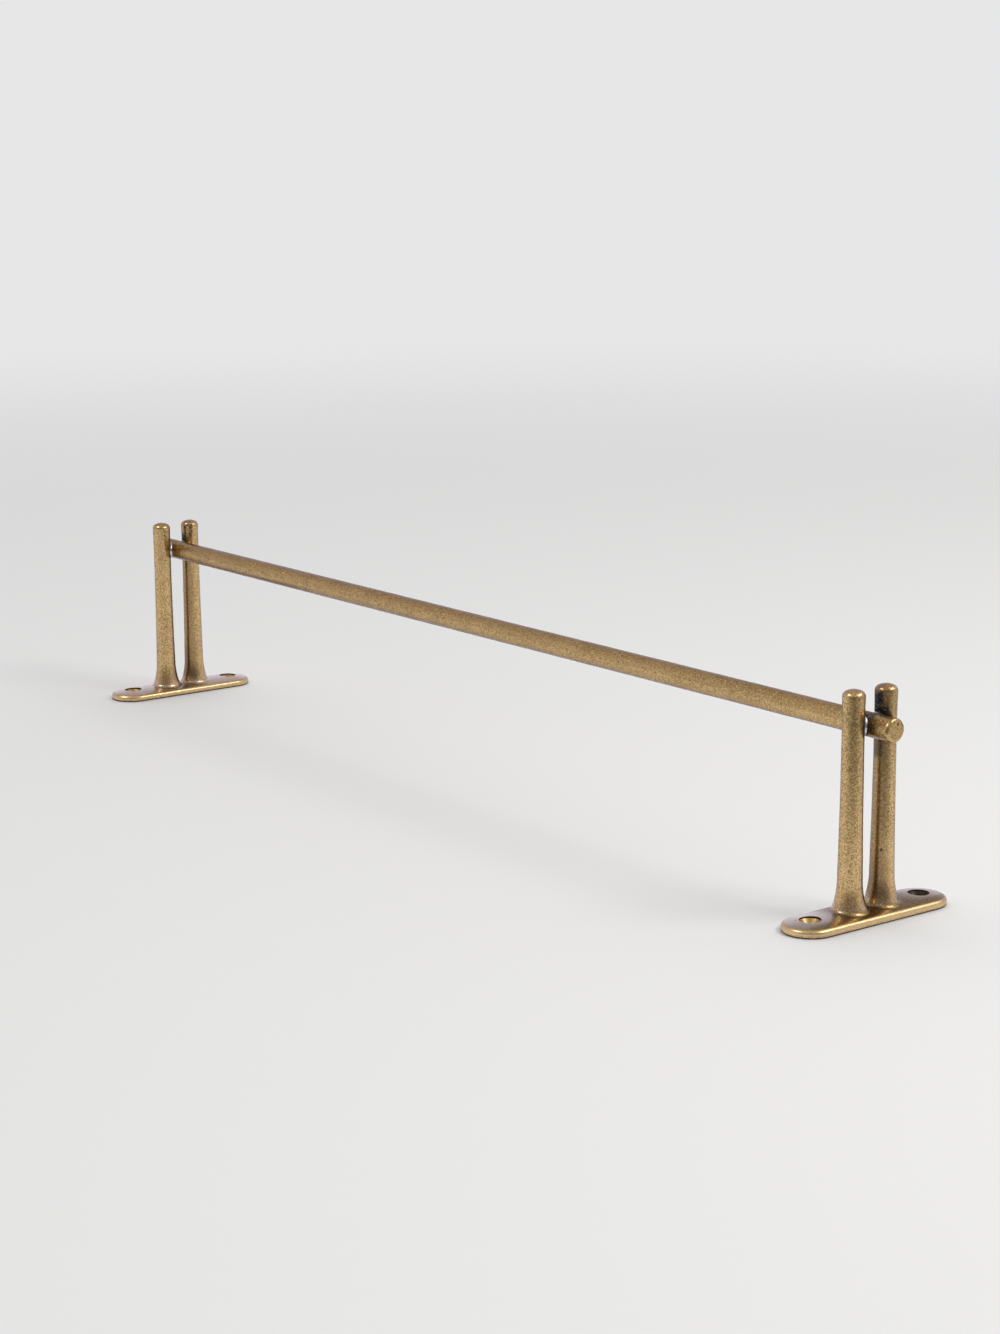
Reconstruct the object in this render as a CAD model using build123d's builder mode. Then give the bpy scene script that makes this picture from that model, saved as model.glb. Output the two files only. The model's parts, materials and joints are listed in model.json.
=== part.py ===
from build123d import *
from math import atan2, degrees, sqrt
import os

# Towel bar: a solid round bar brazed between the twin posts of two cast brackets.
# X runs along the bar, Y along the wall plates, Z out from the wall. The origin lies in the wall
# plane, midway between the brackets.

# Bar
bar_length = 600.0
bar_diameter = 10.5
bar_end_round = 1.3  # rounding of the edge at each end face
bar_overhang = 15.5  # bar end beyond the centre of its posts

# Wall plate, crowned across its width
plate_length = 88.0
plate_width = 24.5
plate_thickness = 5.0  # at the middle of the crown
plate_edge_height = 3.2  # of the side wall, before its edge is rounded
plate_front_round = 1.9  # rounding of the edge that faces the room
plate_back_round = 0.6  # rounding of the edge against the wall

# Countersunk screw holes
screw_spacing = 63.5
screw_bore = 5.0
screw_head_diameter = 9.4
screw_head_angle = 90.0
screw_head_land = 0.8  # straight wall above the cone

# Posts
post_height = 100.0  # wall to the tip of the dome
post_top_diameter = 9.9
post_waist_diameter = 9.6  # narrowest, level with the bar
post_root_diameter = 10.9  # where the shaft turns into the flare
dome_height = 3.1
dome_round = 2.5  # corner between the shaft and the crown of the dome
flare_height = 13.0  # above the plate
flare_reach = 2.4  # growth in radius from the root to the plate
flare_fillet = 2.0  # rounding between the flare and the plate

# Joint between bar and posts
bar_drop = 16.3  # tip of the dome down to the bar's axis
saddle_depth = 0.7  # how far the bar is let into each post
braze_radius = 0.7  # concave radius of the braze metal

# Places that follow from the sizes above
bracket_x = bar_length / 2 - bar_overhang
bar_z = post_height - bar_drop
post_y = (bar_diameter + post_waist_diameter) / 2 - saddle_depth
screw_y = screw_spacing / 2
plate_straight = plate_length - plate_width
sides = {"left": -bracket_x, "right": bracket_x}
rows = {"front": -post_y, "rear": post_y}

os.makedirs("parts", exist_ok=True)


def upright(x, y):
    """The line out from the wall at x, y."""
    return Axis((x, y, 0), (0, 0, 1))


def across(x, y):
    """The plane across a plate at x, y, with the room side up."""
    return Plane(origin=(x, y, 0), x_dir=(1, 0, 0), z_dir=(0, -1, 0))


def plate_section(x, y):
    """Half section of a plate: flat back, upright side, rounded edges and crowned front."""
    edge = plate_width / 2
    crown_rise = plate_thickness - plate_edge_height
    crown_radius = (edge**2 + crown_rise**2) / (2 * crown_rise)
    with BuildSketch(across(x, y)) as section:
        with BuildLine():
            Polyline((0, plate_thickness), (0, 0), (edge, 0), (edge, plate_edge_height))
            RadiusArc((0, plate_thickness), (edge, plate_edge_height), crown_radius)
        make_face()
        outer = section.vertices().group_by(Axis.X)[-1].sort_by(Axis.Y)
        fillet(outer[0], plate_back_round)
        outer = section.vertices().group_by(Axis.X)[-1].sort_by(Axis.Y)
        fillet(outer[-1], plate_front_round)
    return section.sketch


def post_section(x, y):
    """Half section of a post: foot in the plate, flare, tapered shaft with a waist, dome."""
    root = (post_root_diameter / 2, plate_thickness + flare_height)
    flare_radius = (flare_height**2 + flare_reach**2) / (2 * flare_reach)
    foot_z = plate_thickness / 2
    foot_reach = flare_radius - sqrt(flare_radius**2 - (root[1] - foot_z) ** 2)
    waist = (post_waist_diameter / 2, bar_z)
    corner = (post_top_diameter / 2 - dome_round, post_height - dome_height)
    crown_radius = (dome_height**2 + corner[0] ** 2 - dome_round**2) / (dome_height - dome_round) / 2
    corner_turn = degrees(atan2(crown_radius - dome_height, corner[0]))
    with BuildSketch(across(x, y)) as section:
        with BuildLine():
            shoulder = CenterArc(corner, dome_round, 0, corner_turn)
            crown = TangentArc(shoulder @ 1, (0, post_height), tangent=shoulder % 1)
            TangentArc(waist, shoulder @ 0, tangent=(0, 1))
            shaft = TangentArc(waist, root, tangent=(0, -1))
            flare = TangentArc(root, (root[0] + foot_reach, foot_z), tangent=shaft % 1)
            Polyline(flare @ 1, (0, foot_z), crown @ 1)
        make_face()
    return section.sketch


def seam_reach(round_radius, other_radius):
    """Half width of a braze seam across a round surface that is let into another.

    A ball of the braze radius rolls round the joint and touches both surfaces. The seam ends
    halfway between the ball's two points of contact.
    """
    touch = round_radius + braze_radius
    ball = sqrt(touch**2 - (post_y - other_radius - braze_radius) ** 2)
    return ball * (1 + round_radius / touch) / 2


def make_bracket(x):
    """One casting: oblong plate, twin posts, screw holes and the saddles that take the bar."""
    with BuildPart() as bracket:
        extrude(plate_section(x, plate_straight / 2), amount=plate_straight)
        mirror(about=Plane(origin=(x, 0, 0), z_dir=(1, 0, 0)))
        for end in (-1, 1):
            y = end * plate_straight / 2
            revolve(plate_section(x, y), axis=Axis((x, y, 0), (0, 0, end)), revolution_arc=180)
        for y in rows.values():
            revolve(post_section(x, y), axis=upright(x, y))
        feet = bracket.edges().filter_by_position(Axis.Z, plate_edge_height, plate_thickness)
        feet = feet.filter_by(lambda edge: edge.geom_type not in (GeomType.LINE, GeomType.CIRCLE))
        fillet(feet, radius=flare_fillet)
        add(bar.part, mode=Mode.SUBTRACT)
        with Locations(Plane(origin=(x, 0, plate_thickness - screw_head_land))):
            with Locations((0, -screw_y), (0, screw_y)):
                CounterSinkHole(
                    screw_bore / 2,
                    screw_head_diameter / 2,
                    counter_sink_angle=screw_head_angle,
                )
    return bracket


def make_braze(x, y):
    """The metal drawn into the crevice round the bar where it touches one post."""
    post_radius = post_waist_diameter / 2
    bar_radius = bar_diameter / 2
    with BuildPart() as braze:
        with BuildSketch(Plane(origin=(x, 0, bar_z), x_dir=(1, 0, 0), z_dir=(0, y, 0))):
            Ellipse(seam_reach(post_radius, bar_radius), seam_reach(bar_radius, post_radius))
        extrude(amount=post_y)
        add(bar.part, mode=Mode.SUBTRACT)
        revolve(post_section(x, y), axis=upright(x, y), mode=Mode.SUBTRACT)
    return braze


with BuildPart() as bar:
    with BuildSketch(Plane(origin=(-bar_length / 2, 0, bar_z), z_dir=(1, 0, 0))):
        Circle(bar_diameter / 2)
    extrude(amount=bar_length)
    fillet(bar.edges().filter_by(GeomType.CIRCLE), radius=bar_end_round)
bar.part.label = "bar"
export_step(bar.part, "parts/bar.step")

for side, x in sides.items():
    bracket = make_bracket(x)
    bracket.part.label = f"{side}_bracket"
    export_step(bracket.part, f"parts/{side}_bracket.step")
    for row, y in rows.items():
        braze = make_braze(x, y)
        braze.part.label = f"braze_{side}_{row}"
        export_step(braze.part, f"parts/braze_{side}_{row}.step")
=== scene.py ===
import json
import math

import bmesh
import bpy
import numpy as np
from mathutils import Matrix, Vector


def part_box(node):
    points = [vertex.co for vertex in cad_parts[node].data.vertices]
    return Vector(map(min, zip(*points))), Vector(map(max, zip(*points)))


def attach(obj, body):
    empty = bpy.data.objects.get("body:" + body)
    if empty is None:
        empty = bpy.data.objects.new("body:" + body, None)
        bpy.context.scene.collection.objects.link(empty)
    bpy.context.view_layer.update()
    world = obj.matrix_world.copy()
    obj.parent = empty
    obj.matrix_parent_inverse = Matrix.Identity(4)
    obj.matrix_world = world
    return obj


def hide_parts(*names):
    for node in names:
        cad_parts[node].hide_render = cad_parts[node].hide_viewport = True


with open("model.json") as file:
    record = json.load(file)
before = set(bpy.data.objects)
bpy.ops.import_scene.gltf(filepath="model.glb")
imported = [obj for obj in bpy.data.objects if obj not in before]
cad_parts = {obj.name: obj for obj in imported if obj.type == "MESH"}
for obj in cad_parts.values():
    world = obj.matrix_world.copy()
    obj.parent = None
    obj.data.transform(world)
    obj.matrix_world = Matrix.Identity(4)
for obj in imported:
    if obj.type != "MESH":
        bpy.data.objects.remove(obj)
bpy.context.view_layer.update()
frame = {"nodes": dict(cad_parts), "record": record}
print("frame loaded:", len(frame["nodes"]), "nodes")

mm = 0.001
bpy.context.scene.view_settings.view_transform = "Standard"

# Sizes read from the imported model, in millimetres
barLow, barHigh = (np.array(corner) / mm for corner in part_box("bar"))
bracketLow, bracketHigh = (np.array(corner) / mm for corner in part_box("right_bracket"))
screws = next(m for m in frame["record"]["mounts"] if m["name"] == "wall_screws")["dims"]
barRadius = (barHigh[2] - barLow[2]) / 2
barLevel = (barHigh[2] + barLow[2]) / 2  # height of the bar's axis above the wall plane
bracketX = screws["spacing_x_mm"] / 2
plateHalfWidth = (bracketHigh[0] - bracketLow[0]) / 2
plateHalfLength = (bracketHigh[1] - bracketLow[1]) / 2
postTip = bracketHigh[2]


# Smooth unevenness between -1 and 1: the mean of a few sine waves that run in different directions.
# period is the longest wave in millimetres, each further wave is shorter, and seed turns them.
def unevenness(points, period, seed, waves=6, shortening=0.35):
    rng = np.random.default_rng(seed)
    directions = rng.normal(size=(waves, 3))
    directions /= np.linalg.norm(directions, axis=1, keepdims=True)
    lengths = period / (1 + shortening * np.arange(waves))
    phases = rng.uniform(0, 2 * np.pi, waves)
    return np.sin(points @ (directions / lengths[:, None]).T * 2 * np.pi + phases).mean(axis=-1)


# Smooth step: 0 below low, 1 above high, and a cubic between them.
def ease(values, low, high):
    t = np.clip((values - low) / (high - low), 0, 1)
    return t * t * (3 - 2 * t)


# Quads between the neighbours of a grid of points (rows, columns, 3). Each row is closed to a ring,
# wrapRows also joins the last row to the first, and skip marks quads to leave out.
def gridQuads(points, wrapRows=False, skip=None):
    rows, columns = points.shape[:2]
    index = np.arange(rows * columns).reshape(rows, columns)
    index = np.concatenate([index, index[:1]]) if wrapRows else index
    index = np.concatenate([index, index[:, :1]], axis=1)
    quads = np.stack([index[:-1, :-1], index[:-1, 1:], index[1:, 1:], index[1:, :-1]], axis=-1)
    quads = quads.reshape(-1, 4) if skip is None else quads[~skip]
    return points.reshape(-1, 3), quads


weld = {
    "merge": 2e-7,  # metres, for poles and shared seams
    "collapse": 1e-7,
    "sharpAngle": 38,  # degrees, from which a corner stays crisp
}


# One mesh object from a list of (points, quads) in millimetres, with its normals turned outwards.
def makePiece(name, surfaces):
    offsets = np.cumsum([0] + [len(points) for points, quads in surfaces])
    vertices = np.concatenate([points for points, quads in surfaces]) * mm
    faces = np.concatenate([quads + offset for (points, quads), offset in zip(surfaces, offsets)])
    mesh = bpy.data.meshes.new(name)
    mesh.from_pydata(vertices, [], faces)
    shell = bmesh.new()
    shell.from_mesh(mesh)
    bmesh.ops.remove_doubles(shell, verts=shell.verts, dist=weld["merge"])
    bmesh.ops.dissolve_degenerate(shell, edges=shell.edges, dist=weld["collapse"])
    bmesh.ops.recalc_face_normals(shell, faces=shell.faces)
    shell.to_mesh(mesh)
    shell.free()
    mesh.shade_smooth()
    mesh.set_sharp_from_angle(angle=math.radians(weld["sharpAngle"]))
    piece = bpy.data.objects.new(name, mesh)
    bpy.context.scene.collection.objects.link(piece)
    return piece


def pointsOf(piece):
    flat = np.empty(len(piece.data.vertices) * 3)
    piece.data.vertices.foreach_get("co", flat)
    return flat.reshape(-1, 3) / mm


def paint(piece, name, values):
    attribute = piece.data.attributes.new(name, "FLOAT", "POINT")
    attribute.data.foreach_set("value", np.clip(values, 0, 1).astype(np.float32))


# Depth of cast pits at the given points: one bell curve per pit, over the distance from its centre.
# pits holds rows of x, y, z, radius and depth.
def pitDepth(points, pits):
    depth = np.zeros(points.shape[:-1])
    for x, y, z, radius, deepest in pits:
        depth += deepest * np.exp(-((points - [x, y, z]) ** 2).sum(axis=-1) / radius**2)
    return depth


# Wall plate

plateShape = {
    "thickness": 5.0,  # at the middle of the crown
    "edgeHeight": 3.2,  # where the crown would meet the side wall
    "frontRound": 1.9,
    "backRound": 0.6,
    "seatRadius": 4.7,  # screw head seat
    "seatLand": 0.8,  # straight wall above the cone
    "rimRound": 0.15,
    "outlineSteps": 160,
    "cutSteps": 36,  # across the middle, where the two halves meet
    "boreRings": 4,
    "coneRings": 8,
    "rimRings": 5,
    "frontRings": 40,
    "roundRings": 11,
    "wallRings": 4,
    "backRoundRings": 6,
    "backRings": 8,
    "waviness": 0.05,  # cast unevenness of the front
    "wavePeriod": 21,
    "pitLevel": (3.0, 4.0),  # pits show above this
}
platePits = [
    (280.8, -36.3, 4.6, 0.42, 0.2),
    (289.5, -23.0, 4.6, 0.35, 0.1),
    (-281.0, 22.5, 4.7, 0.4, 0.12),
]
screwY = screws["spacing_y_mm"] / 2
boreRadius = screws["hole_r_mm"]
spineEnd = plateHalfLength - plateHalfWidth
coneTop = plateShape["thickness"] - plateShape["seatLand"]
crownRise = plateShape["thickness"] - plateShape["edgeHeight"]
crownRadius = (plateHalfWidth**2 + crownRise**2) / (2 * crownRise)
crownCentre = plateShape["thickness"] - crownRadius
roundCentre = plateHalfWidth - plateShape["frontRound"]
roundLevel = crownCentre + math.sqrt((crownRadius - plateShape["frontRound"]) ** 2 - roundCentre**2)
roundStart = math.atan2(roundLevel - crownCentre, roundCentre)
crownEdge = roundCentre + plateShape["frontRound"] * math.cos(roundStart)


# Height of the crowned front: a circle's arc over the distance from the plate's spine.
def plateFront(x, y):
    distance = np.hypot(x, np.maximum(np.abs(y) - spineEnd, 0))
    return crownCentre + np.sqrt(crownRadius**2 - np.minimum(distance, plateHalfWidth) ** 2)


# Half a plate round one hole. Columns follow the half outline at the crown's edge: up one side, round
# the end, down the other side and across the middle. Rings run from the bore up the cone, out over the
# front, down the side wall and back along the wall face to the bore. The wall across the middle is left out.
def halfPlate(side):
    shape = plateShape
    lengths = [spineEnd, np.pi * crownEdge, spineEnd]
    along = np.linspace(0, sum(lengths), shape["outlineSteps"] + 1)
    turn = np.clip((along - lengths[0]) / crownEdge, 0, np.pi)
    climb = np.minimum(along, lengths[0]) - np.maximum(along - lengths[0] - lengths[1], 0)
    outward = np.stack([np.cos(turn), np.sin(turn)], axis=-1)
    outline = np.stack([np.zeros_like(climb), climb], axis=-1) + crownEdge * outward
    across = np.linspace(-crownEdge, crownEdge, shape["cutSteps"] + 1)[1:-1]
    cut = np.stack([across, np.zeros_like(across)], axis=-1)
    outline = np.concatenate([outline, cut])
    outward = np.concatenate([outward, np.zeros_like(cut)])
    centre = np.array([0, screwY])
    rays = outline - centre
    rays /= np.linalg.norm(rays, axis=1, keepdims=True)

    def circle(radius, level):
        plan = centre + radius * rays
        return np.column_stack([plan, np.broadcast_to(level, len(plan))])

    def offset(distance, level):
        return np.column_stack([outline + distance * outward, np.full(len(outline), level)])

    coneFoot = coneTop - (shape["seatRadius"] - boreRadius)
    rings = [circle(boreRadius, level) for level in np.linspace(0, coneFoot, shape["boreRings"])]
    for share in np.linspace(0, 1, shape["coneRings"] + 1)[1:]:
        radius = boreRadius + share * (shape["seatRadius"] - boreRadius)
        rings.append(circle(radius, coneFoot + share * (coneTop - coneFoot)))
    rim = circle(shape["seatRadius"], 0)
    rimLevel = plateFront(rim[:, 0], rim[:, 1])
    for angle in np.linspace(0, np.pi / 2, shape["rimRings"]):
        radius = shape["seatRadius"] + shape["rimRound"] * (1 - math.cos(angle))
        rings.append(circle(radius, rimLevel - shape["rimRound"] * (1 - math.sin(angle))))
    inner = rings[-1][:, :2]
    for share in np.linspace(0, 1, shape["frontRings"] + 1)[1:]:
        plan = inner + share * (outline - inner)
        rings.append(np.column_stack([plan, plateFront(plan[:, 0], plan[:, 1])]))
    wallStart = len(rings) - 1
    for angle in np.linspace(roundStart, 0, shape["roundRings"])[1:]:
        reach = roundCentre + shape["frontRound"] * math.cos(angle)
        rings.append(offset(reach - crownEdge, roundLevel + shape["frontRound"] * math.sin(angle)))
    for level in np.linspace(roundLevel, shape["backRound"], shape["wallRings"])[1:]:
        rings.append(offset(plateHalfWidth - crownEdge, level))
    for angle in np.linspace(0, np.pi / 2, shape["backRoundRings"])[1:]:
        reach = plateHalfWidth - shape["backRound"] * (1 - math.cos(angle))
        rings.append(offset(reach - crownEdge, shape["backRound"] * (1 - math.sin(angle))))
    wallEnd = len(rings) - 1
    backOutline, bore = rings[-1], rings[0]
    for share in np.linspace(0, 1, shape["backRings"])[1:-1]:
        rings.append(backOutline + share * (bore - backOutline))

    points = np.stack(rings) * [1, side, 1]
    skip = np.zeros((len(rings), len(outline)), bool)
    skip[wallStart:wallEnd, shape["outlineSteps"]:] = True
    return gridQuads(points, wrapRows=True, skip=skip)


# The two halves, with cast waves on the front that fade out towards the flat back.
def plateSurfaces(x, seed):
    surfaces = []
    for side in (-1, 1):
        points, quads = halfPlate(side)
        lift = plateShape["waviness"] * (unevenness(points, plateShape["wavePeriod"], seed) - 1) / 2
        points[:, 2] += lift * points[:, 2] / plateShape["thickness"]
        points = points + [x, 0, 0]
        points[:, 2] -= pitDepth(points, platePits) * ease(points[:, 2], *plateShape["pitLevel"])
        surfaces.append((points, quads))
    return surfaces


# Posts

postShape = {
    "topRadius": 4.95,
    "waistRadius": 4.8,  # narrowest, level with the bar
    "rootRadius": 5.45,  # where the shaft turns into the flare
    "domeHeight": 3.1,
    "domeRound": 2.5,
    "flareHeight": 13.0,
    "flareReach": 2.4,
    "footFillet": 2.0,
    "footSink": 0.03,  # the foot's rim lies this far under the plate's front
    "rootDepth": 3.0,  # the hidden root runs from here
    "rootTop": 0.8,  # to here, under the plate's front
    "crownFollow": 9.0,  # height up to which the foot follows the crowned plate
    "saddle": 0.7,  # how far the bar is let into each post
    "turns": 104,
    "filletRows": 18,
    "flareRows": 36,
    "shaftRows": 130,
    "headRows": 44,
    "shoulderRows": 13,
    "crownRows": 10,
    "waviness": 0.05,
    "wavePeriod": 24,
    "waveDrop": 0.6,  # sinks the waves under the true surface
    "waveStart": (0.5, 6.0),  # height above the plate
}
postY = barRadius + postShape["waistRadius"] - postShape["saddle"]
# Cast pits: direction round the post in degrees from +X, height above the wall, radius and depth
postPits = {
    ("right", "rear"): [(-50, 29.5, 0.5, 0.3), (-20, 46, 0.35, 0.12), (-62, 62, 0.4, 0.12)],
    ("right", "front"): [(-77, 92.3, 0.42, 0.14), (-43, 97.0, 0.42, 0.14), (-39, 92.0, 0.35, 0.12),
                         (-76, 88.2, 0.35, 0.1), (-46, 23.2, 0.5, 0.14), (-30, 70.5, 0.35, 0.1)],
    ("left", "rear"): [(-19, 97.3, 0.45, 0.22), (-25, 96.1, 0.5, 0.26), (-20, 94.2, 0.45, 0.24),
                       (-28, 92.6, 0.5, 0.26), (-24, 91.2, 0.4, 0.2)],
    ("left", "front"): [(-60, 70, 0.4, 0.1), (-20, 40, 0.4, 0.1)],
}


# Half section of a post as radius and height above the plate, in two runs: the hidden root, and then a
# fillet on the plate, a flare that widens with the square of the way down, a shaft and a head that
# thicken with the square of the way from the waist, a round shoulder and a flatter crown.
def postProfile():
    shape = postShape
    top = postTip - plateShape["thickness"]
    waist = barLevel - plateShape["thickness"]
    shoulder = top - shape["domeHeight"]

    def flare(height):
        return shape["rootRadius"] + shape["flareReach"] * (1 - height / shape["flareHeight"]) ** 2

    def fromWaist(heights, end, endRadius):
        growth = (endRadius - shape["waistRadius"]) * ((heights - waist) / (end - waist)) ** 2
        return np.column_stack([shape["waistRadius"] + growth, heights])

    lean = math.atan(2 * shape["flareReach"] / shape["flareHeight"])
    filletTop = shape["footFillet"] * (1 - math.sin(lean))
    filletRadius = float(flare(filletTop)) + shape["footFillet"] * math.cos(lean)
    turn = np.linspace(0, np.pi / 2 - lean, shape["filletRows"])
    foot = np.column_stack([filletRadius - shape["footFillet"] * np.sin(turn),
                            shape["footFillet"] * (1 - np.cos(turn)) - shape["footSink"]])
    heights = np.linspace(filletTop, shape["flareHeight"], shape["flareRows"])[1:]
    flareRows = np.column_stack([flare(heights), heights])
    heights = np.linspace(shape["flareHeight"], waist, shape["shaftRows"])[1:]
    shaft = fromWaist(heights, shape["flareHeight"], shape["rootRadius"])
    heights = np.linspace(waist, shoulder, shape["headRows"])[1:]
    head = fromWaist(heights, shoulder, shape["topRadius"])
    corner = shape["topRadius"] - shape["domeRound"]
    domeRadius = shape["domeHeight"] ** 2 + corner**2 - shape["domeRound"] ** 2
    domeRadius /= 2 * (shape["domeHeight"] - shape["domeRound"])
    cornerTurn = math.atan2(domeRadius - shape["domeHeight"], corner)
    turn = np.linspace(0, cornerTurn, shape["shoulderRows"])[1:]
    dome = np.column_stack([corner + shape["domeRound"] * np.cos(turn),
                            shoulder + shape["domeRound"] * np.sin(turn)])
    turn = np.linspace(np.pi / 2 - cornerTurn, 0, shape["crownRows"])[1:]
    crown = np.column_stack([domeRadius * np.sin(turn), top - domeRadius * (1 - np.cos(turn))])
    root = np.array([(radius, -shape["rootDepth"]) for radius in (0, filletRadius / 2, filletRadius)]
                    + [(filletRadius, -shape["rootTop"])])
    return root, np.concatenate([foot, flareRows, shaft, head, dome, crown])


# Centres of a post's pits on its surface, each with its radius and depth.
def pitPlaces(x, y, marks):
    skin = postProfile()[1]
    places = []
    for degrees, height, size, depth in marks:
        radius = np.interp(height - plateShape["thickness"], skin[:, 1], skin[:, 0])
        angle = math.radians(degrees)
        places.append((x + radius * math.cos(angle), y + radius * math.sin(angle), height, size, depth))
    return places


# The section turned round the post's axis. The foot follows the crowned plate, and the shaft is upright.
def postSurface(x, y, seed, marks):
    shape = postShape
    profile = np.concatenate(postProfile())
    angles = np.linspace(0, 2 * np.pi, shape["turns"], endpoint=False)
    radius, height = (column[:, None] for column in profile.T)
    plan = radius[..., None] * np.stack([np.cos(angles), np.sin(angles)], axis=-1) + [0, y]
    dip = plateFront(plan[..., 0], plan[..., 1]) - plateShape["thickness"]
    level = plateShape["thickness"] + height + dip * (1 - ease(height, 0, shape["crownFollow"]))
    points = np.concatenate([plan, level[..., None]], axis=-1)
    swell = shape["waviness"] * (unevenness(points, shape["wavePeriod"], seed) - shape["waveDrop"])
    swell = swell * ease(height, *shape["waveStart"]) * ease(radius, 0, shape["waistRadius"])
    pits = pitPlaces(0, y, marks)
    outward = (plan - [0, y]) / np.maximum(radius, 1e-6)[..., None]  # none on the axis itself
    points[..., :2] += outward * (swell - pitDepth(points, pits))[..., None]
    return gridQuads(points + [x, 0, 0])


# Bar

barShape = {
    "endRound": 1.3,
    "rings": 560,
    "turns": 104,
    "faceRows": 10,
    "cornerRows": 10,
    "waviness": 0.05,
    "wavePeriod": 34,
    "waveDrop": 0.6,  # sinks the waves under the true surface
}
facePits = [(300, 1.0, 86.5, 0.5, 0.3), (300, -2.2, 82.0, 0.4, 0.1)]
sidePits = [(264.2, -5.0, 85.3, 0.5, 0.14), (240, -4.6, 86.2, 0.5, 0.12), (190, -5.1, 84.9, 0.45, 0.12)]


# Half section of the bar, flat end face, rounded edge and straight side, turned round the X axis.
def barSurface(seed):
    shape = barShape
    half = (barHigh[0] - barLow[0]) / 2
    edge = shape["endRound"]
    faceRadii = np.linspace(0, barRadius - edge, shape["faceRows"])[:-1]
    face = np.column_stack([np.full_like(faceRadii, half), faceRadii])
    turn = np.linspace(0, np.pi / 2, shape["cornerRows"])
    corner = np.column_stack([half - edge * (1 - np.cos(turn)), barRadius - edge * (1 - np.sin(turn))])
    straight = np.linspace(half - edge, -(half - edge), shape["rings"])[1:-1]
    side = np.column_stack([straight, np.full_like(straight, barRadius)])
    profile = np.concatenate([face, corner, side, (corner * [-1, 1])[::-1], (face * [-1, 1])[::-1]])
    angles = np.linspace(0, 2 * np.pi, shape["turns"], endpoint=False)
    along, radius = (column[:, None] for column in profile.T)
    ring = np.broadcast_arrays(along, radius * np.cos(angles), radius * np.sin(angles))
    points = np.stack(ring, axis=-1)
    swell = shape["waviness"] * (unevenness(points, shape["wavePeriod"], seed) - shape["waveDrop"])
    swell = 1 + swell * ease(radius, barRadius - edge, barRadius) / barRadius
    points = points * np.stack([np.ones_like(swell), swell, swell], axis=-1) + [0, 0, barLevel]
    points[..., 0] -= pitDepth(points, facePits)
    points[..., 1] += pitDepth(points, sidePits)
    return gridQuads(points)


# Braze

brazeShape = {
    "radius": 0.7,  # of the hollow between bar and post
    "spread": 0.22,  # share by which the hand-run seam swells and thins
    "ripple": 0.5,  # share of the shortest wave in that
    "turns": 120,
    "steps": 12,
    "overlap": 0.06,  # share of the bead's width that runs on under each surface
    "bulge": 0.14,  # rise of the bead over its width
    "depth": 0.95,  # of the bead's hidden back, in ball radii
    "search": (0.6, 1.4),  # where the ball's path is looked for, round an ellipse
    "halvings": 40,
}


# A ball as large as the hollow rolls round the joint and touches both bar and post. Its centre lies on
# the bar's and the post's surfaces grown by its radius. The bead spans the ball's two points of contact
# with a low arch, and its back lies hidden in the joint.
def brazeSurface(x, side, seed):
    shape = brazeShape
    rng = np.random.default_rng(seed)
    angles = np.linspace(0, 2 * np.pi, shape["turns"], endpoint=False)
    phases = rng.uniform(0, 2 * np.pi, 3)
    waves = np.sin(np.outer((1, 2, 5), angles) + phases[:, None]) * [[1], [1], [shape["ripple"]]]
    ball = shape["radius"] * (1 + shape["spread"] * waves.sum(axis=0) / (2 + shape["ripple"]))
    grownBar, grownPost = barRadius + ball, postShape["waistRadius"] + ball
    wide = np.sqrt(grownPost**2 - (postY - grownBar) ** 2)
    tall = np.sqrt(grownBar**2 - (postY - grownPost) ** 2)
    low, high = (np.full_like(angles, share) for share in shape["search"])
    for halving in range(shape["halvings"]):  # close in on the point where both grown surfaces meet
        middle = (low + high) / 2
        onBar = np.sqrt(np.maximum(grownBar**2 - (middle * tall * np.sin(angles)) ** 2, 0))
        onPost = postY - np.sqrt(np.maximum(grownPost**2 - (middle * wide * np.cos(angles)) ** 2, 0))
        outside = onPost > onBar
        low, high = np.where(outside, low, middle), np.where(outside, middle, high)
    centre = np.column_stack([middle * wide * np.cos(angles), onBar, middle * tall * np.sin(angles)])
    toBar = -centre * [0, 1, 1]
    toBar /= np.linalg.norm(toBar, axis=1, keepdims=True)
    toPost = ([0, postY, 0] - centre) * [1, 1, 0]
    toPost /= np.linalg.norm(toPost, axis=1, keepdims=True)
    share = np.linspace(-shape["overlap"], 1 + shape["overlap"], shape["steps"])[:, None, None]
    barContact, postContact = centre + ball[:, None] * toBar, centre + ball[:, None] * toPost
    width = np.linalg.norm(postContact - barContact, axis=-1, keepdims=True)
    rise = -(toBar + toPost)
    rise /= np.linalg.norm(rise, axis=-1, keepdims=True)
    arch = shape["bulge"] * width * (4 * share * (1 - share))
    skin = barContact * (1 - share) + postContact * share + arch * rise
    back = centre + (toBar + toPost) * (shape["depth"] * ball[:, None])
    points = np.concatenate([skin, back[None]])
    return gridQuads(points * [1, side, 1] + [x, 0, barLevel], wrapRows=True)


# Pieces

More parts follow.
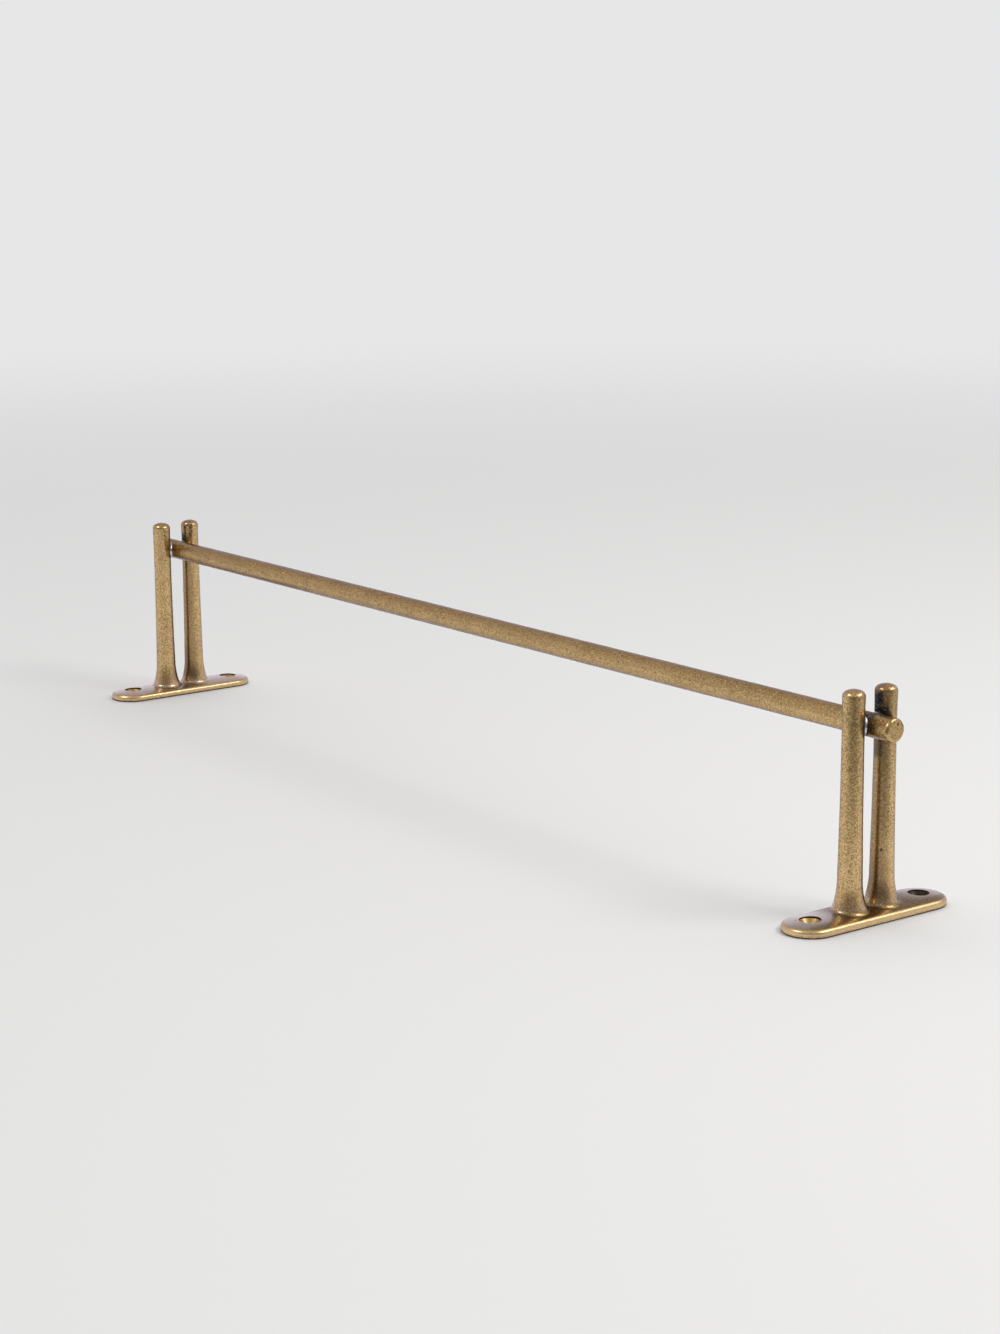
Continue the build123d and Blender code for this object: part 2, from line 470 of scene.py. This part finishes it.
sides = {"left": -bracketX, "right": bracketX}
rows = {"front": -1, "rear": 1}
seeds = {"plate": 11, "post": 31, "braze": 71, "bar": 5}
castings, seams = {}, {}
for number, (side, x) in enumerate(sides.items()):
    surfaces = plateSurfaces(x, seeds["plate"] + number)
    for row, sign in rows.items():
        seedStep = 2 * number + sign
        surfaces.append(postSurface(x, sign * postY, seeds["post"] + seedStep, postPits[side, row]))
        seam = makePiece(f"brazeSeam_{side}_{row}", [brazeSurface(x, sign, seeds["braze"] + seedStep)])
        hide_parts(f"braze_{side}_{row}")
        seams[side, row] = seam
    casting = makePiece(f"bracketCasting_{side}", surfaces)
    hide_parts(f"{side}_bracket")
    castings[side] = casting
rod = makePiece("rod", [barSurface(seeds["bar"])])
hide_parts("bar")
pieces = [*castings.values(), *seams.values(), rod]
print("pieces:", {piece.name: len(piece.data.polygons) for piece in pieces})


# Wear and painted shade: where dirt, flux, lacquer and rubbing show, and where shade, light and sheen are
# painted on the points. Pairs are the millimetres over which a mark comes in or goes out.

wear = {
    "postStart": (1.5, 4.0),  # above the plate, where the post's own marks begin
    "jointDirt": (1.1, 1.9),  # out from the bar, on the posts
    "innerFace": (-1.0, 4.2),  # in from a post's axis, painted shade on the faces that look at the other post
    "innerLow": (14, 34),  # levels up to which that painted shade is darkest
    "innerHigh": 0.65,  # its strength above that
    "seatEdge": (0.04, 0.12),  # out from the screw seat
    "seatShade": (-0.35, 0.02),  # painted shade on the seat's straight wall, up from the top of its cone
    "darkRearSeat": 0.8,  # darkens all of the right rear seat
    "besidePost": (1.5, 3.5),  # painted shade to the right of the right posts, beside the joint
    "besideJoint": (2, 6),
    "contactShade": (0.35, 0.95),  # painted contact shadow at the foot of the side wall
    "rubbedStart": (0.8, 1.6),  # painted light on the side wall above it, partly wear
    "rubbedEnd": (1.5, 2.0),  # above the middle of the front edge's rounding
    "lacquerEnd": (4.9, 6.5),
    "rightLacquer": 1.0,
    "leftLacquer": 0.4,  # paler on the left plate
    "leftCloud": 0.65,  # cloudiness of its lacquer
    "leftEndCloud": 0.15,  # and more of it at both ends
    "leftEnds": (8, 30),
    "rightFrontCloud": 0.95,  # the right plate is cloudy at its ends only
    "rightFrontEnd": (-28, -12),
    "rightRearCloud": 0.55,
    "rightRearEnd": (18, 32),
    "rightEdge": (4, 9),  # and clears towards its near edge
    "rightEdgeLoss": 0.8,
    "footGlossStart": (4.8, 5.4),  # full lacquer round the feet
    "footGlossEnd": (8, 12),
    "domeGloss": 0.35,
    "domeGlossStart": (95.5, 97.5),
    "pitStain": 6,  # per millimetre of depth
    "rodDirt": (1.3, 1.9),  # out from the posts, on the bar
    "leftRodDirt": 0.45,  # the right joint was left dirtier
    "rodSootEnd": (4.5, 7),  # to both sides of the posts
    "leftRodSoot": 0.15,
    "rightRodSoot": 0.3,
    "rightTopSoot": 0.6,  # added on top of the bar
    "rodTop": (1.5, 4),  # above the bar's axis
    "rodDull": 0.20,  # the bar is a shade duller than its brackets
}
# Soot left by the torch on the posts; on the front posts' faces towards the rear posts it also paints shade.
# Columns: direction in degrees from +X, half width, lowest and highest level, strength
soot = {
    ("right", "rear"): [(-108, 52, 88.0, 98.0, 1.0), (-90, 62, 86.0, 92.0, 1.0), (-90, 40, 70, 79, 0.5)],
    ("left", "rear"): [(-85, 30, 88.0, 92.5, 0.9), (-24, 12, 90.5, 97.5, 0.3)],
    ("right", "front"): [(90, 58, 68, 97.5, 0.9)],
    ("left", "front"): [(90, 50, 70, 96.5, 0.8)],
}
sootBlur = {"low": (-2.5, 0.5), "high": (-2.5, 1.5), "side": (-14, 10)}  # about the values above


# Room between the points and the bar's side, or the nearest post's, and 0 inside it.
def clearOfBar(points):
    return np.maximum(np.hypot(points[:, 1], points[:, 2] - barLevel) - barRadius, 0)


def clearOfPosts(points):
    axes = [(x, sign * postY) for x in sides.values() for sign in rows.values()]
    gaps = [np.hypot(points[:, 0] - x, points[:, 1] - y) for x, y in axes]
    return np.maximum(np.min(gaps, axis=0) - postShape["waistRadius"], 0)


# Smooth step whose two ends lie about a level.
def easeAbout(values, level, ends):
    return ease(values, level + ends[0], level + ends[1])


# Soot over a post: a soft patch in direction and height for each entry of the table.
def sootOn(points, x, y, patches):
    degrees = np.degrees(np.arctan2(points[:, 1] - y, points[:, 0] - x))
    amount = np.zeros(len(points))
    for direction, spread, low, high, strength in patches:
        away = np.abs((degrees - direction + 180) % 360 - 180)
        height = easeAbout(points[:, 2], low, sootBlur["low"])
        height = height * (1 - easeAbout(points[:, 2], high, sootBlur["high"]))
        amount = np.maximum(amount, strength * (1 - easeAbout(away, spread, sootBlur["side"])) * height)
    return amount * (np.sign(points[:, 1]) == np.sign(y))


# How far the plate's lacquer has gone cloudy, by the place along and across the plate. The same amount sets
# a pale painted sheen in the colour.
def cloudOn(across, along, side):
    if side == "left":
        return wear["leftCloud"] + wear["leftEndCloud"] * ease(np.abs(along), *wear["leftEnds"])
    cloud = wear["rightFrontCloud"] * (1 - ease(along, *wear["rightFrontEnd"]))
    cloud = cloud + wear["rightRearCloud"] * ease(along, *wear["rightRearEnd"])
    return cloud * (1 - wear["rightEdgeLoss"] * ease(across, *wear["rightEdge"]))


def paintCasting(casting, side):
    points = pointsOf(casting)
    across, along, level = points[:, 0] - sides[side], points[:, 1], points[:, 2]
    onPost = easeAbout(level, plateShape["thickness"], wear["postStart"])
    fromBar = clearOfBar(points)
    joint = (1 - ease(fromBar, *wear["jointDirt"])) * onPost
    # painted shade on the right posts' sides next to the bar
    beside = ease(across, *wear["besidePost"]) * onPost * (1 - ease(fromBar, *wear["besideJoint"]))
    # painted shade on the posts' faces that look at each other, darkest low between the feet
    inner = ease(postY - np.abs(along), *wear["innerFace"]) * onPost
    inner = inner * (wear["innerHigh"] + (1 - wear["innerHigh"]) * (1 - ease(level, *wear["innerLow"])))
    fromScrew = np.hypot(across, np.abs(along) - screwY)
    inSeat = 1 - easeAbout(fromScrew, plateShape["seatRadius"], wear["seatEdge"])
    seatShade = inSeat * easeAbout(level, coneTop, wear["seatShade"])
    # dark marks: dirt in the bar joints, and painted shade in the screw seats, along the plates' foot and
    # beside the right joints
    marks = [joint, seatShade, 1 - ease(level, *wear["contactShade"])]
    if side == "right":
        marks += [beside, wear["darkRearSeat"] * inSeat * (along > 0)]
    front = easeAbout(level, roundLevel, wear["rubbedEnd"])
    lacquer = front * (1 - ease(level, *wear["lacquerEnd"])) * (1 - inSeat)
    feet = ease(level, *wear["footGlossStart"]) * (1 - ease(level, *wear["footGlossEnd"]))
    dark, pits = np.zeros(len(points)), pitDepth(points, platePits)
    for row, sign in rows.items():
        place = sides[side], sign * postY
        dark = np.maximum(dark, sootOn(points, *place, soot[side, row]))
        pits = pits + pitDepth(points, pitPlaces(*place, postPits[side, row]))
    paint(casting, "dirtAndShade", np.max(marks, axis=0))
    paint(casting, "flux", dark)
    paint(casting, "inner", inner)
    paint(casting, "seat", inSeat * (1 - seatShade))
    paint(casting, "film", lacquer * wear[f"{side}Lacquer"])
    # cloudy lacquer: more coat and a brighter grazing tint, and a pale painted sheen in the colour
    paint(casting, "hazeAndSheen", cloudOn(across, along, side) * lacquer)
    # painted light on the plates' side walls, with some real edge wear
    paint(casting, "rubbedAndLit", ease(level, *wear["rubbedStart"]) * (1 - front))
    paint(casting, "glossy", feet + wear["domeGloss"] * ease(level, *wear["domeGlossStart"]))
    paint(casting, "pit", wear["pitStain"] * pits)


def paintRod():
    points = pointsOf(rod)
    onRight = points[:, 0] > 0
    dirt = np.where(onRight, 1.0, wear["leftRodDirt"])
    onTop = ease(points[:, 2] - barLevel, *wear["rodTop"])
    sooty = np.where(onRight, wear["rightRodSoot"] + wear["rightTopSoot"] * onTop, wear["leftRodSoot"])
    fromBracket = np.abs(np.abs(points[:, 0]) - bracketX)
    paint(rod, "dirtAndShade", dirt * (1 - ease(clearOfPosts(points), *wear["rodDirt"])))
    paint(rod, "flux", sooty * (1 - ease(fromBracket, *wear["rodSootEnd"])))
    paint(rod, "inner", np.full(len(points), wear["rodDull"]))
    for name in ("film", "hazeAndSheen", "rubbedAndLit", "seat", "glossy"):  # marks that only the castings have
        paint(rod, name, np.zeros(len(points)))
    paint(rod, "pit", wear["pitStain"] * pitDepth(points, facePits + sidePits))


for side, casting in castings.items():
    paintCasting(casting, side)
paintRod()
print("wear painted")


# Shader helpers

# Link a socket to another node's output, or set it to a plain value.
def feed(tree, socket, value):
    if hasattr(value, "links"):
        tree.links.new(value, socket)
    else:
        socket.default_value = value


def mathNode(tree, operation, first, second, clamp=False):
    node = tree.nodes.new("ShaderNodeMath")
    node.operation = operation
    node.use_clamp = clamp
    feed(tree, node.inputs[0], first)
    feed(tree, node.inputs[1], second)
    return node.outputs[0]


def rangeNode(tree, value, fromLow, fromHigh, toLow=0.0, toHigh=1.0):
    node = tree.nodes.new("ShaderNodeMapRange")
    node.interpolation_type = "SMOOTHSTEP"
    numbers = {"From Min": fromLow, "From Max": fromHigh, "To Min": toLow, "To Max": toHigh}
    for name, number in {"Value": value, **numbers}.items():
        feed(tree, node.inputs[name], number)
    return node.outputs["Result"]


# Sockets 6, 7 and 2 are the Mix node's colours.
def mixColour(tree, factor, first, second, blend="MIX"):
    node = tree.nodes.new("ShaderNodeMix")
    node.data_type = "RGBA"
    node.blend_type = blend
    feed(tree, node.inputs["Factor"], factor)
    feed(tree, node.inputs[6], first)
    feed(tree, node.inputs[7], second)
    return node.outputs[2]


def noiseNode(tree, vector, scale, detail=3.0, roughness=0.55):
    node = tree.nodes.new("ShaderNodeTexNoise")
    for name, value in {"Vector": vector, "Scale": scale, "Detail": detail, "Roughness": roughness}.items():
        feed(tree, node.inputs[name], value)
    return node.outputs["Fac"]


def dotNode(tree, vector, direction):
    node = tree.nodes.new("ShaderNodeVectorMath")
    node.operation = "DOT_PRODUCT"
    feed(tree, node.inputs[0], vector)
    feed(tree, node.inputs[1], direction)
    return node.outputs["Value"]


def bumpNode(tree, height, strength, distance):
    node = tree.nodes.new("ShaderNodeBump")
    for name, value in {"Height": height, "Strength": strength, "Distance": distance}.items():
        feed(tree, node.inputs[name], value)
    return node.outputs["Normal"]


def objectCoords(tree):
    return tree.nodes.new("ShaderNodeTexCoord").outputs["Object"]


def paintedMask(tree, name):
    node = tree.nodes.new("ShaderNodeAttribute")
    node.attribute_name = name
    return node.outputs["Fac"]


# A material, its node tree and the sockets of its shader.
def newMaterial(name):
    material = bpy.data.materials.new(name)
    material.use_nodes = True
    return material, material.node_tree, material.node_tree.nodes["Principled BSDF"].inputs


# A group with float sockets besides its Vector. inputs gives each input its value.
def newGroup(name, inputs, outputs):
    group = bpy.data.node_groups.new(name, "ShaderNodeTree")
    group.interface.new_socket("Vector", in_out="INPUT", socket_type="NodeSocketVector")
    for label, value in inputs.items():
        socket = group.interface.new_socket(label, in_out="INPUT", socket_type="NodeSocketFloat")
        socket.default_value = value
    for label in outputs:
        group.interface.new_socket(label, in_out="OUTPUT", socket_type="NodeSocketFloat")
    return group, group.nodes.new("NodeGroupInput").outputs, group.nodes.new("NodeGroupOutput").inputs


def placeGroup(tree, group, **values):
    node = tree.nodes.new("ShaderNodeGroup")
    node.node_tree = group
    for name, value in values.items():
        feed(tree, node.inputs[name.replace("_", " ")], value)
    return node.outputs


# Cast grain: fine sand-cast relief, small dark flecks and the uneven tone of aged brass

grain = {
    "scale": 1250.0,
    "fleckAmount": 0.5,
    "fineRoughness": 0.6,
    "coarse": 0.45,  # scales of the wider noises, as shares of the grain scale
    "patch": 0.12,
    "slow": 0.05,
    "patchDetail": 2.0,
    "relief": (0.7, 0.6),  # shares of fine and coarse noise
    "tone": (0.88, 0.12),  # shares of fine and slow noise
    "toneRange": (0.40, 0.60),
    "fleckStart": 0.80,  # noise level at which flecks begin when their amount is 0
    "fleckSpread": 0.22,  # lower by this when it is 1
    "fleckEdge": 0.07,
    "patchRange": (0.36, 0.58),  # flecks gather in patches
    "patchLow": 0.25,
}


def makeCastGrain():
    inputs = {"Grain Scale": grain["scale"], "Fleck Amount": grain["fleckAmount"]}
    group, given, result = newGroup("castGrain", inputs, ("Height", "Flecks", "Tone"))

    def scaled(name, **details):
        scale = mathNode(group, "MULTIPLY", given["Grain Scale"], grain[name])
        return noiseNode(group, given["Vector"], scale, **details)

    def blend(first, second, shares):
        first = mathNode(group, "MULTIPLY", first, shares[0])
        return mathNode(group, "ADD", first, mathNode(group, "MULTIPLY", second, shares[1]))

    fine = noiseNode(group, given["Vector"], given["Grain Scale"], roughness=grain["fineRoughness"])
    lower = mathNode(group, "MULTIPLY", given["Fleck Amount"], grain["fleckSpread"])
    start = mathNode(group, "SUBTRACT", grain["fleckStart"], lower)
    specks = rangeNode(group, fine, start, mathNode(group, "ADD", start, grain["fleckEdge"]))
    patches = scaled("patch", detail=grain["patchDetail"])
    patches = rangeNode(group, patches, *grain["patchRange"], grain["patchLow"])
    tone = blend(fine, scaled("slow"), grain["tone"])
    feed(group, result["Height"], blend(fine, scaled("coarse"), grain["relief"]))
    feed(group, result["Flecks"], mathNode(group, "MULTIPLY", specks, patches))
    feed(group, result["Tone"], rangeNode(group, tone, *grain["toneRange"]))
    return group


# Tarnish: brown film that gathers in joints and also lays the painted shade of the seats, the plates' foot
# and the right joints, black flux beside the braze, broken up by noise

tarnish = {
    "blotch": (420.0, 5.0, 0.7),  # scale, detail and roughness of the noises
    "scratch": (1100.0, 3.0, 0.7),
    "ragged": 0.5,  # how far the blotches shift the brown film's edge
    "brownRange": (0.55, 1.15),
    "blackRange": (0.30, 0.50),
    "ashRange": (0.54, 0.64),
}


def makeJointTarnish():
    inputs = {"Crevice": 0.0, "Flux": 0.0}
    group, given, result = newGroup("jointTarnish", inputs, ("Brown", "Black", "Ash"))
    blotch = noiseNode(group, given["Vector"], *tarnish["blotch"])
    scratch = noiseNode(group, given["Vector"], *tarnish["scratch"])
    ragged = mathNode(group, "ADD", given["Crevice"], mathNode(group, "MULTIPLY", blotch, tarnish["ragged"]))
    black = mathNode(group, "MULTIPLY", given["Flux"], rangeNode(group, blotch, *tarnish["blackRange"]))
    ash = mathNode(group, "MULTIPLY", black, rangeNode(group, scratch, *tarnish["ashRange"]), clamp=True)
    feed(group, result["Brown"], rangeNode(group, ragged, *tarnish["brownRange"]))
    feed(group, result["Black"], black)
    feed(group, result["Ash"], ash)
    return group


# Aged cast brass: grain, flecks and tarnish over a metal with a thin film of old lacquer, with painted
# shade, light and sheen in its colour

brassFinish = {
    "gold": (0.73, 0.505, 0.185, 1),
    "umber": (0.34, 0.226, 0.068, 1),
    "fleck": (0.10, 0.065, 0.028, 1),
    "inner": (0.19, 0.115, 0.035, 1),  # painted shade on the faces between the posts; a small share of it also dulls the whole bar
    "film": (0.50, 0.50, 0.38, 1),  # tint of the old lacquer on the plates
    "hazeAndSheen": (0.87, 0.88, 0.74, 1),  # pale painted sheen, standing in for the backdrop's reflection, where that lacquer has gone cloudy
    "rubbedAndLit": (0.76, 0.58, 0.24, 1),  # painted light on the plates' side walls and lower edge rounding, partly edges worn bright
    "seat": (0.40, 0.255, 0.055, 1),  # bright cut metal in the screw seats
    "brown": (0.035, 0.025, 0.015, 1),
    "black": (0.012, 0.010, 0.011, 1),
    "ash": (0.34, 0.33, 0.37, 1),
    "pit": (0.035, 0.025, 0.015, 1),
    "roughness": 0.31,
    "dirtyMetal": 0.15,  # metallic and coat where dirt and painted shade cover the brass
    "dirtyCoat": 0.1,
    "rubbedCoat": 0.6,  # lacquer on the side walls under that painted light
    "rubbedRelief": 0.12,  # grain left on them
    "fleckDepth": 0.5,
    "bumpDistance": 0.00012,  # metres
    "specular": 0.15,
    "grazing": (0.30, 0.30, 0.42, 1),  # the metal is duller at grazing angles
    "cloudyGrazing": (1, 1, 1, 1),  # except under cloudy lacquer
    "coatRoughness": 0.24,
    "coatIor": 1.7,
    "coatTint": (0.94, 0.90, 1.0, 1),
}
# Colours laid over the metal, in this order, each with its strength; the shade between the posts, the pale
# sheen of cloudy lacquer, the light on the plates' side walls and part of the brown are painted
brassLayers = {
    "inner": 0.8, "film": 1.0, "hazeAndSheen": 0.28, "rubbedAndLit": 0.6, "seat": 0.8,
    "fleck": 0.8, "brown": 1.0, "black": 1.0, "ash": 0.8, "pit": 0.9,
}
# What each mask adds to the roughness
brassRoughness = {"tone": -0.06, "fleck": 0.2, "dirt": 0.3, "film": 0.04, "seat": 0.15, "rubbedAndLit": 0.07}


# lacquer is the coat where no mark is painted, and cloudy is for a piece that has painted haze and sheen.
def agedBrass(name, fleckAmount, bump, lacquer, cloudy):
    look = brassFinish
    material, tree, shader = newMaterial(name)
    vector = objectCoords(tree)
    cast = placeGroup(tree, castGrain, Vector=vector, Grain_Scale=grain["scale"], Fleck_Amount=fleckAmount)
    stain = placeGroup(tree, jointTarnish, Vector=vector, Crevice=paintedMask(tree, "dirtAndShade"),
                       Flux=paintedMask(tree, "flux"))
    masks = {mask: paintedMask(tree, mask)
             for mask in ("inner", "film", "hazeAndSheen", "rubbedAndLit", "seat", "pit", "glossy")}
    masks.update(tone=cast["Tone"], fleck=cast["Flecks"])
    masks.update(brown=stain["Brown"], black=stain["Black"], ash=stain["Ash"])
    masks["dirt"] = mathNode(tree, "MAXIMUM", masks["black"], masks["brown"])

    def share(mask, strength):
        return mathNode(tree, "MULTIPLY", masks[mask], strength)

    colour = mixColour(tree, masks["tone"], look["umber"], look["gold"])
    for mask, strength in brassLayers.items():
        blend = "MULTIPLY" if mask == "film" else "MIX"
        colour = mixColour(tree, share(mask, strength), colour, look[mask], blend)
    roughness = look["roughness"]
    for mask, strength in brassRoughness.items():
        roughness = mathNode(tree, "ADD", roughness, share(mask, strength))
    coat = mathNode(tree, "MAXIMUM", masks["glossy"], share("rubbedAndLit", look["rubbedCoat"]))
    coat = rangeNode(tree, mathNode(tree, "MAXIMUM", masks["hazeAndSheen"], coat), 0, 1, lacquer, 1.0)
    depth = mathNode(tree, "SUBTRACT", cast["Height"], share("fleck", look["fleckDepth"]))
    relief = rangeNode(tree, masks["rubbedAndLit"], 0, 1, 1.0, look["rubbedRelief"])
    depth = mathNode(tree, "MULTIPLY", depth, relief)
    feed(tree, shader["Base Color"], colour)
    feed(tree, shader["Roughness"], roughness)
    feed(tree, shader["Metallic"], rangeNode(tree, masks["dirt"], 0, 1, 1.0, look["dirtyMetal"]))
    feed(tree, shader["Coat Weight"], rangeNode(tree, masks["dirt"], 0, 1, coat, look["dirtyCoat"]))
    grazing = look["grazing"]
    if cloudy:
        grazing = mixColour(tree, masks["hazeAndSheen"], grazing, look["cloudyGrazing"])
    feed(tree, shader["Specular Tint"], grazing)
    feed(tree, shader["Specular IOR Level"], look["specular"])
    feed(tree, shader["Coat Roughness"], look["coatRoughness"])
    feed(tree, shader["Coat IOR"], look["coatIor"])
    feed(tree, shader["Coat Tint"], look["coatTint"])
    feed(tree, shader["Normal"], bumpNode(tree, depth, bump, look["bumpDistance"]))
    return material


# Braze metal: paler and brighter than the castings, with a few dull spots

brazeFinish = {
    "dull": (0.46, 0.42, 0.39, 1),
    "bright": (0.68, 0.63, 0.59, 1),
    "fleck": (0.25, 0.2, 0.16, 1),
    "grainScale": 1100.0,
    "roughness": (0.36, 0.24),  # of the dull and the bright metal
    "bump": 0.25,
    "bumpDistance": 0.0001,  # metres
}


def brazeMetal():
    look = brazeFinish
    material, tree, shader = newMaterial("brazeMetal")
    cast = placeGroup(tree, castGrain, Vector=objectCoords(tree), Grain_Scale=look["grainScale"])
    colour = mixColour(tree, cast["Tone"], look["dull"], look["bright"])
    feed(tree, shader["Base Color"], mixColour(tree, cast["Flecks"], colour, look["fleck"]))
    feed(tree, shader["Roughness"], rangeNode(tree, cast["Tone"], 0, 1, *look["roughness"]))
    feed(tree, shader["Metallic"], 1.0)
    feed(tree, shader["Normal"], bumpNode(tree, cast["Height"], look["bump"], look["bumpDistance"]))
    return material


castGrain = makeCastGrain()
jointTarnish = makeJointTarnish()
bracketBrass = agedBrass("bracketBrass", fleckAmount=0.9, bump=0.8, lacquer=0.45, cloudy=True)
rodBrass = agedBrass("rodBrass", fleckAmount=0.95, bump=0.9, lacquer=0.35, cloudy=False)
seamBraze = brazeMetal()
finishes = [bracketBrass] * len(castings) + [seamBraze] * len(seams) + [rodBrass]
for piece, finish in zip(pieces, finishes):
    piece.data.materials.append(finish)
    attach(piece, "root")
print("materials:", [bracketBrass.name, rodBrass.name, seamBraze.name])


# Camera: the photograph's viewing angle

view = {
    "place": (1.0731, -0.7820, 0.3425),  # metres
    "turn": 52.926,  # degrees from looking along +Y towards -X
    "tilt": 13.052,  # degrees below the horizon
    "roll": -0.345,
    "lens": 73.25,
    "shift": (-0.0097, 0.0381),
    "clip": (0.01, 100),
}
upwards = Vector((0, 0, 1))
toCamera = (Vector(view["place"]) * Vector((1, 1, 0))).normalized()  # along the floor
toRight = upwards.cross(toCamera)


def makeCamera():
    turn, tilt, roll = (math.radians(view[name]) for name in ("turn", "tilt", "roll"))
    ahead = Vector((-math.sin(turn) * math.cos(tilt), math.cos(turn) * math.cos(tilt), -math.sin(tilt)))
    right = ahead.cross(upwards).normalized()
    up = right.cross(ahead)
    rolledRight = math.cos(roll) * right + math.sin(roll) * up
    rolledUp = math.cos(roll) * up - math.sin(roll) * right
    data = bpy.data.cameras.new("camera")
    data.lens = view["lens"]
    data.shift_x, data.shift_y = view["shift"]
    data.clip_start, data.clip_end = view["clip"]
    camera = bpy.data.objects.new("camera", data)
    axes = Matrix((rolledRight, rolledUp, -ahead)).transposed()
    camera.matrix_world = Matrix.Translation(view["place"]) @ axes.to_4x4()
    bpy.context.scene.collection.objects.link(camera)
    bpy.context.scene.camera = camera


# Stage: a pale floor that runs out into a pale surround, under three soft lamps

black = (0, 0, 0, 1)
stage = {
    "floorRings": (0.0, 0.5, 1.5, 4.0, 9.0),  # metres
    "floorTurns": 96,
    "floorGap": 0.02,  # millimetres under the plates
    "floor": (0.83, 0.83, 0.83, 1),
    "floorDark": (0.81755, 0.81755, 0.81755, 1),  # faint clouding of the floor
    "clouding": (1.2, 2.0),  # scale and detail of that
    "glow": (0.02, 0.02, 0.02, 1),  # light that comes through the floor from below
    "mirrorGlow": (0.20, 0.20, 0.33, 1),  # and as the metal mirrors it
    "pale": (0.80, 0.80, 0.80, 1),  # the ground as the camera sees it far off
    "floorEnd": (0.29, 0.60),  # where the floor ends towards the camera, as the metal mirrors it
    "floorDim": 0.9,
    "floorRight": (0.42, 0.58),  # and to the right
    "rightDim": 0.55,
    "fade": (0.9, 2.6),  # distance over which the floor turns into the plain pale ground
    "light": (1.52, 0.0),  # of the room on the floor: from behind the object, from the camera's side
    "backdrop": 0.95,  # low behind the object, as the metal mirrors it
    "backdropEdge": (-0.95, -0.3),  # edges are cosines of the angle from the camera's side
    "surround": 0.75,
    "cameraSide": 0.22,  # the dim room behind the camera
    "cameraEdge": (0.1, 0.95),
    "overhead": 0.55,
    "overheadEdge": (0.34, 0.58),  # sines of the angle above the horizon
    "tint": (1.0, 0.94, 1.06, 1),  # cool cast of the room in the metal
}
lampColour = (1.0, 0.97, 0.94)
# Place and size in metres, power in watts. Only the first lamp lights the floor, so the bar has one
# shadow.
lamps = {
    "rightLamp": {"place": (1.10, 0.60, 1.15), "size": (0.75, 0.40), "power": 8.2, "onFloor": True},
    "rightStrip": {"place": (0.75, 0.95, 1.2), "size": (1.1, 0.3), "power": 2.8, "onFloor": False},
    "leftGlint": {"place": (-0.43, -2.07, 2.45), "size": (0.80, 0.85), "power": 26.0, "onFloor": False},
}


# A flat disc in rings. The metal mirrors it only as far as it reaches towards the camera and to the right.
def makeFloor():
    angles = np.linspace(0, 2 * np.pi, stage["floorTurns"], endpoint=False)
    radii = np.array(stage["floorRings"])[:, None] / mm
    disc = np.broadcast_arrays(radii * np.cos(angles), radii * np.sin(angles), -stage["floorGap"])
    floor = makePiece("floor", [gridQuads(np.stack(disc, axis=-1))])
    material, tree, shader = newMaterial("paleFloor")
    vector = objectCoords(tree)
    distance = tree.nodes.new("ShaderNodeVectorMath")
    distance.operation = "LENGTH"
    feed(tree, distance.inputs[0], vector)
    far = rangeNode(tree, distance.outputs["Value"], *stage["fade"])
    mirrored = tree.nodes.new("ShaderNodeLightPath").outputs["Is Glossy Ray"]
    ahead = rangeNode(tree, dotNode(tree, vector, toCamera), *stage["floorEnd"], 0, stage["floorDim"])
    right = rangeNode(tree, dotNode(tree, vector, toRight), *stage["floorRight"], 0, stage["rightDim"])
    dim = mathNode(tree, "MULTIPLY", mirrored, mathNode(tree, "MAXIMUM", ahead, right))
    clouding = noiseNode(tree, vector, *stage["clouding"])
    grey = mixColour(tree, dim, mixColour(tree, clouding, stage["floor"], stage["floorDark"]), black)
    lit = mathNode(tree, "SUBTRACT", mirrored, dim)
    glow = mixColour(tree, lit, stage["glow"], stage["mirrorGlow"])
    feed(tree, shader["Base Color"], mixColour(tree, far, grey, black))
    feed(tree, shader["Emission Color"], mixColour(tree, far, glow, stage["pale"]))
    feed(tree, shader["Emission Strength"], 1.0)
    feed(tree, shader["Roughness"], 1.0)
    feed(tree, shader["Specular IOR Level"], 0.0)
    floor.data.materials.append(material)


# The camera sees the plain pale ground, the metal mirrors a room, and the floor gets a plain light.
def makeSurround():
    world = bpy.data.worlds.new("surround")
    bpy.context.scene.world = world
    world.use_nodes = True
    tree = world.node_tree
    background = tree.nodes["Background"].inputs
    direction = tree.nodes.new("ShaderNodeTexCoord").outputs["Generated"]
    towards = dotNode(tree, direction, toCamera)
    level = rangeNode(tree, towards, *stage["backdropEdge"], stage["backdrop"], stage["surround"])
    level = rangeNode(tree, towards, *stage["cameraEdge"], level, stage["cameraSide"])
    height = rangeNode(tree, dotNode(tree, direction, upwards), *stage["overheadEdge"])
    above = tree.nodes.new("ShaderNodeMix")
    for name, value in {"Factor": height, "A": level, "B": stage["overhead"]}.items():
        feed(tree, above.inputs[name], value)
    path = tree.nodes.new("ShaderNodeLightPath").outputs
    mirrored = mixColour(tree, above.outputs["Result"], black, stage["tint"])
    plain = rangeNode(tree, towards, -1, 1, *stage["light"])
    shade = mixColour(tree, path["Is Glossy Ray"], plain, mirrored)
    feed(tree, background["Color"], mixColour(tree, path["Is Camera Ray"], shade, stage["pale"]))
    feed(tree, background["Strength"], 1.0)


def softLamp(name, place, size, power, onFloor):
    lamp = bpy.data.lights.new(name, "AREA")
    lamp.shape = "RECTANGLE"
    lamp.size, lamp.size_y = size
    lamp.energy = power
    lamp.color = lampColour
    holder = bpy.data.objects.new(name, lamp)
    holder.location = place
    holder.rotation_euler = (-Vector(place)).to_track_quat("-Z", "Y").to_euler()
    holder.visible_diffuse = onFloor
    bpy.context.scene.collection.objects.link(holder)


makeFloor()
makeSurround()
for name, lamp in lamps.items():
    softLamp(name, **lamp)
makeCamera()
print("stage set")
